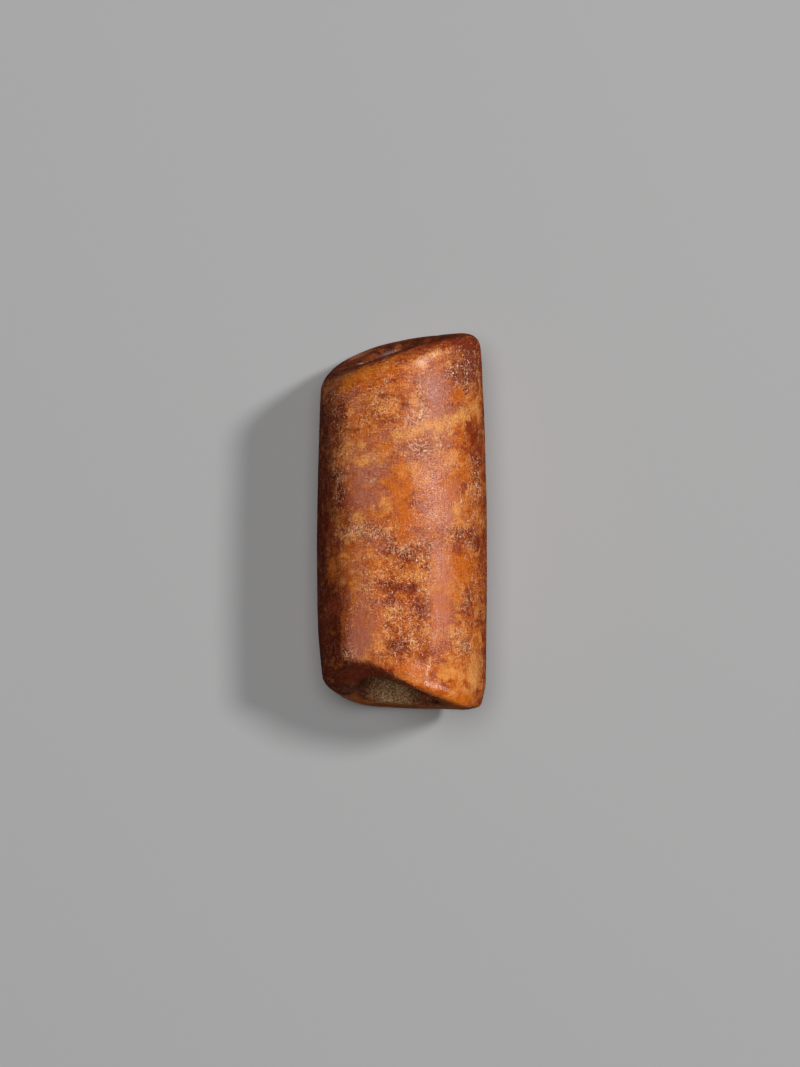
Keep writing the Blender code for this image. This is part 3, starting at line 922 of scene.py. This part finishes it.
# The stone's own colours, and the clouds that they lie in
DEEP_STONE = (0.37, 0.052, 0.005)
AMBER_STONE = (0.63, 0.138, 0.009)
PALE_STONE = (0.82, 0.275, 0.060)
CLOUDS_PER_MM = 0.36
CLOUD_LEAN = 20
CLOUD_SHAPE = (1.9, 1.0, 1.0)
MOTTLE_IN_CLOUDS = 0.9
DEEP_TO_AMBER = (0.80, 0.93)
AMBER_TO_PALE = (0.96, 1.10)


def clouded_stone(tree, warped, mottle):
    """The stone's own colour, in drawn-out clouds of deep, amber and pale."""
    drawn_out = stretched(tree, warped, CLOUD_LEAN, CLOUD_SHAPE)
    cloud = grain(tree, drawn_out, CLOUDS_PER_MM, detail=5.0, roughness=0.6)
    tone = plus(tree, cloud, times(tree, mottle, MOTTLE_IN_CLOUDS))
    stone = mixed(tree, between(tree, tone, *DEEP_TO_AMBER), colour(DEEP_STONE), colour(AMBER_STONE))
    return mixed(tree, between(tree, tone, *AMBER_TO_PALE), stone, colour(PALE_STONE))


def stained(tree, stone, mottle):
    """The stone with its stains, and with the painted shade, sheen and highlights in the same fields."""
    for name, tone in STAIN_COLOURS.items():
        amount = torn(tree, field(tree, name), mottle, RAGGEDNESS[name])
        stone = mixed(tree, amount, stone, colour(tone))
    return stone


# The dark gaps and the pale grains of crumbling skin: the tone, the range of the crumbs' noise,
# how much of it weathering adds, and how much is there anywhere
CRUMBS_PER_MM = 5.2
GAPS = ((0.42, 0.22, 0.16), (0.49, 0.37), 0.64, 0.24)
GRAINS = ((1.24, 1.40, 1.50), (0.53, 0.63), 0.42, 0.20)


def crumbled(tree, stone, crumbs, rough):
    """The stone with dark gaps between pale grains, most of them where it is weathered."""
    for tone, crumb_range, weathered, anywhere in (GAPS, GRAINS):
        share = plus(tree, times(tree, rough, weathered), anywhere)
        stone = shaded(tree, times(tree, between(tree, crumbs, *crumb_range), share), stone, tone)
    return stone


# The fine lines that grinding left, along the bead everywhere and round it in its high third: how
# they lean, their shape, and the ranges and amounts of the dark and of the pale ones
ALONG_THE_BEAD = (3, (0.14, 1.3, 0.14), (0.50, 0.36, 0.0, 0.22), (0.56, 0.70, 0.0, 0.12))
ROUND_THE_BEAD = (-4, (1.4, 0.11, 0.4), (0.47, 0.34, 0.0, 0.40), (0.54, 0.68, 0.0, 0.16))
LINE_TONE = (0.66, 0.42, 0.30)


def lined(tree, stone, place, lines, amount):
    """The stone with an amount of ground lines over it."""
    lean, shape, dark, pale = lines
    drawn_out = stretched(tree, place, lean, shape)
    drawn = grain(tree, drawn_out, per_mm=1.0, detail=2.0, roughness=0.6)
    paler = times(tree, between(tree, drawn, *pale), amount)
    stone = mixed(tree, paler, stone, colour(FROST_AND_HIGHLIGHT_COLOUR))
    darker = times(tree, between(tree, drawn, *dark), amount)
    return shaded(tree, darker, stone, LINE_TONE)


# The shade of the pits, and the wall of the bore and the ground left in it, each of those two from
# dark to pale over a range of noise
PIT_TONE = (0.60, 0.36, 0.26)
BORE_COLOURS = ((0.075, 0.014, 0.004), (0.24, 0.050, 0.012))
BORE_RANGE = (0.42, 0.58)
SOIL_COLOURS = ((0.17, 0.072, 0.022), (0.68, 0.44, 0.23))
SOIL_RANGE = (0.36, 0.70)
SOIL_RAGGEDNESS = 1.0


def bored(tree, stone, crumbs, mottle):
    """The colours inside the bore: brown, with chalky ground left in the low mouth."""
    wall = mixed(tree, between(tree, mottle, *BORE_RANGE), *map(colour, BORE_COLOURS))
    stone = mixed(tree, field(tree, "bore"), stone, wall)
    soil = mixed(tree, between(tree, crumbs, *SOIL_RANGE), *map(colour, SOIL_COLOURS))
    return mixed(tree, torn(tree, field(tree, "chalk"), mottle, SOIL_RAGGEDNESS), stone, soil)


# The scratches: short strokes three ways, thick in frost and painted highlights and fine in clusters
# on weathered skin. Dark stains and painted shade hold fewer of them. Four numbers are a range and
# the amounts at its two ends
STROKE_LEANS = (14, 86, -46)
STROKE_SHAPE = (1.2, 0.36, 1.0)
STROKES_PER_MM = 2.6
THICK_STROKES = (0.54, 0.70, 0.05, 1.0)
FINE_STROKES = (0.635, 0.675)
FINE_STROKE_COLOUR = (1.0, 0.56, 0.34)
CLUSTERS_PER_MM = 0.9
IN_CLUSTERS = (0.36, 0.58, 0.30, 1.0)
RUSSET_DARKNESS = 0.7
ON_DARK_STAINS = (0.2, 1.0, 0.85, 0.18)

# Painted glints: bright points between them, a few of which are anywhere
POINTS_PER_MM = 3.6
POINT_RANGE = (0.75, 0.79)
POINTS_ANYWHERE = 0.10
GLINT_COLOUR = (1.0, 0.74, 0.50)


def scratches(tree, place):
    """Short strokes three ways, as one noise."""
    strokes = 0.0
    for lean in STROKE_LEANS:
        drawn_out = stretched(tree, place, lean, STROKE_SHAPE)
        one_way = grain(tree, drawn_out, STROKES_PER_MM, detail=1.0, roughness=0.5)
        strokes = larger(tree, strokes, one_way)
    return strokes


def scuffed(tree, stone, place, rough):
    """The stone with frost and painted highlights, short fine scratches and a few painted glints."""
    strokes = scratches(tree, place)
    frosted_and_highlit = times(tree, field(tree, "frost_and_highlights"), between(tree, strokes, *THICK_STROKES))
    stone = mixed(tree, frosted_and_highlit, stone, colour(FROST_AND_HIGHLIGHT_COLOUR))
    cluster = grain(tree, place, CLUSTERS_PER_MM, detail=3.0)
    clusters = times(tree, rough, between(tree, cluster, *IN_CLUSTERS))
    darkest = larger(tree, field(tree, "umber_and_shade"), times(tree, field(tree, "russet"), RUSSET_DARKNESS))
    bare = between(tree, darkest, *ON_DARK_STAINS)
    fine = times(tree, between(tree, strokes, *FINE_STROKES), times(tree, clusters, bare))
    stone = mixed(tree, fine, stone, colour(FINE_STROKE_COLOUR))
    # Painted glints
    points = between(tree, grain(tree, place, POINTS_PER_MM, detail=0.0), *POINT_RANGE)
    painted_glints = times(tree, points, times(tree, plus(tree, clusters, POINTS_ANYWHERE), bare))
    return mixed(tree, painted_glints, stone, colour(GLINT_COLOUR))


# The gloss: how rough polished skin is, how rough weathered skin, what the bore adds, how strongly
# the stone bends light, and how much it mirrors
POLISHED_ROUGHNESS = 0.20
WEATHERED_ROUGHNESS = 0.44
BORE_ROUGHNESS = 0.20
REFRACTION = 1.55
SHINE = 0.33

# The fine relief: pores, most of them in weathered skin, and the lines that grinding left
RELIEF_DEPTH = 0.18
PORES_PER_MM = 6.0
PORES_ANYWHERE = 0.07
RELIEF_LINE_LEAN = 4
RELIEF_LINE_SHAPE = (0.13, 2.5, 0.13)
RELIEF_LINE_HEIGHT = 0.12

# The light that goes through the stone: little anywhere, and more on its thin rims
GLOW_ANYWHERE = 0.16
GLOW_ON_RIMS = 0.70
GLOW_DEPTH = 1.4
GLOW_RADIUS = (1.0, 0.35, 0.12)


def jade_colour(tree, place, rough):
    """The stone's colours, from its own clouds out to the last scratches."""
    warped = warped_place(tree, place)
    mottle = mottled(tree, warped)
    crumbs = grain(tree, place, CRUMBS_PER_MM, detail=2.0, roughness=0.55)
    stone = stained(tree, clouded_stone(tree, warped, mottle), mottle)
    stone = crumbled(tree, stone, crumbs, rough)
    stone = lined(tree, stone, place, ROUND_THE_BEAD, field(tree, "high_third"))
    stone = lined(tree, stone, place, ALONG_THE_BEAD, 1.0)
    stone = shaded(tree, field(tree, "pit"), stone, PIT_TONE)
    stone = bored(tree, stone, crumbs, mottle)
    return scuffed(tree, stone, place, rough)


def fine_relief(tree, place, rough):
    """A bump of pores and ground lines."""
    drawn_out = stretched(tree, place, RELIEF_LINE_LEAN, RELIEF_LINE_SHAPE)
    lines = grain(tree, drawn_out, per_mm=1.0, detail=1.0, roughness=0.5)
    pores = grain(tree, place, PORES_PER_MM, detail=2.0, roughness=0.6)
    pores = times(tree, pores, plus(tree, rough, PORES_ANYWHERE))
    height = plus(tree, pores, times(tree, lines, RELIEF_LINE_HEIGHT))
    bump = {"Height": height, "Distance": RELIEF_DEPTH * MM, "Strength": 1.0}
    return node(tree, "ShaderNodeBump", bump).outputs[0]


def jade_material():
    """Polished and weathered jade."""
    jade = bpy.data.materials.new("jade")
    jade.use_nodes = True
    tree = jade.node_tree
    where = node(tree, "ShaderNodeTexCoord", {}).outputs["Object"]
    place = node(tree, "ShaderNodeVectorMath", {0: where, "Scale": 1 / MM}, operation="SCALE").outputs[0]
    rough = field(tree, "weathered")
    satin = between(tree, rough, 0.0, 1.0, POLISHED_ROUGHNESS, WEATHERED_ROUGHNESS)
    shader = tree.nodes["Principled BSDF"]
    linked = {
        "Base Color": jade_colour(tree, place, rough),
        "Roughness": plus(tree, satin, times(tree, field(tree, "bore"), BORE_ROUGHNESS)),
        "Normal": fine_relief(tree, place, rough),
        "Subsurface Weight": between(tree, field(tree, "rim"), 0.0, 1.0, GLOW_ANYWHERE, GLOW_ON_RIMS),
    }
    for name, socket in linked.items():
        tree.links.new(socket, shader.inputs[name])
    shader.inputs["IOR"].default_value = REFRACTION
    shader.inputs["Specular IOR Level"].default_value = SHINE
    shader.inputs["Subsurface Radius"].default_value = GLOW_RADIUS
    shader.inputs["Subsurface Scale"].default_value = GLOW_DEPTH * MM
    return jade


bead = remade_skin(solid)
thin_the_bore(bead)
etch(bead)
bead.data.materials.clear()
bead.data.materials.append(jade_material())
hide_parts("jade_bead")
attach(bead, "root")

# The floor
# A plain pale sheet under the bead, matt and without seams, wide enough for a view from any side.
# It lights the bead's lower edges a little, and the polished stone doesn't mirror it.

FLOOR_HALF_WIDTH = 1.5
FLOOR_PALENESS = 0.44
FLOOR_ROUGHNESS = 0.9
bpy.ops.mesh.primitive_plane_add(size=2 * FLOOR_HALF_WIDTH, location=(0, 0, 0))
floor = bpy.context.object
floor.name = "floor"
paper = bpy.data.materials.new("pale_paper")
paper.use_nodes = True
paper_shader = paper.node_tree.nodes["Principled BSDF"]
paper_shader.inputs["Base Color"].default_value = (*[FLOOR_PALENESS] * 3, 1)
paper_shader.inputs["Roughness"].default_value = FLOOR_ROUGHNESS
floor.data.materials.append(paper)
floor.visible_glossy = False

# The light
# A soft round light high on the right makes the shine and about half of the brightness. A broader
# one above the bead fills the shade, and the polished stone doesn't mirror that one.

LIGHT_DISTANCE = 1.0
KEY_FROM = (0.60, 0.26, 0.76)
FILL_FROM = (-0.05, 0.12, 1.0)
SURROUNDING_LIGHT = 0.01


def soft_light(name, towards, width, power):
    """A round lamp that lies the way that towards points, and faces the bead."""
    lamp = bpy.data.lights.new(name, "AREA")
    lamp.shape = "DISK"
    lamp.size = width
    lamp.energy = power
    light = bpy.data.objects.new(name, lamp)
    light.location = towards.normalized() * LIGHT_DISTANCE
    light.rotation_euler = towards.to_track_quat("Z", "Y").to_euler()
    bpy.context.scene.collection.objects.link(light)
    return light


soft_light("key_light", Vector(KEY_FROM), width=0.16, power=5.0)
fill_light = soft_light("fill_light", Vector(FILL_FROM), width=0.5, power=5.3)
fill_light.visible_glossy = False
world = bpy.data.worlds.new("studio")
world.use_nodes = True
surroundings = world.node_tree.nodes["Background"]
surroundings.inputs["Color"].default_value = (1, 1, 1, 1)
surroundings.inputs["Strength"].default_value = SURROUNDING_LIGHT
bpy.context.scene.world = world
bpy.context.scene.view_settings.view_transform = "Standard"

# The camera
# It looks straight down on the bead, from about a third of a metre above its axis. It stands a
# little to the left of the bead's middle and below it, as the photograph frames the bead.

CAMERA_ABOVE_AXIS = 330
CAMERA_ASIDE = (-0.2, -1.2)
view = bpy.data.cameras.new("camera")
view.lens = 105
view.sensor_width = 36
view.clip_start = 0.01
camera = bpy.data.objects.new("camera", view)
camera.location = Vector((*CAMERA_ASIDE, AXIS_HEIGHT + CAMERA_ABOVE_AXIS)) * MM
bpy.context.scene.collection.objects.link(camera)
bpy.context.scene.camera = camera
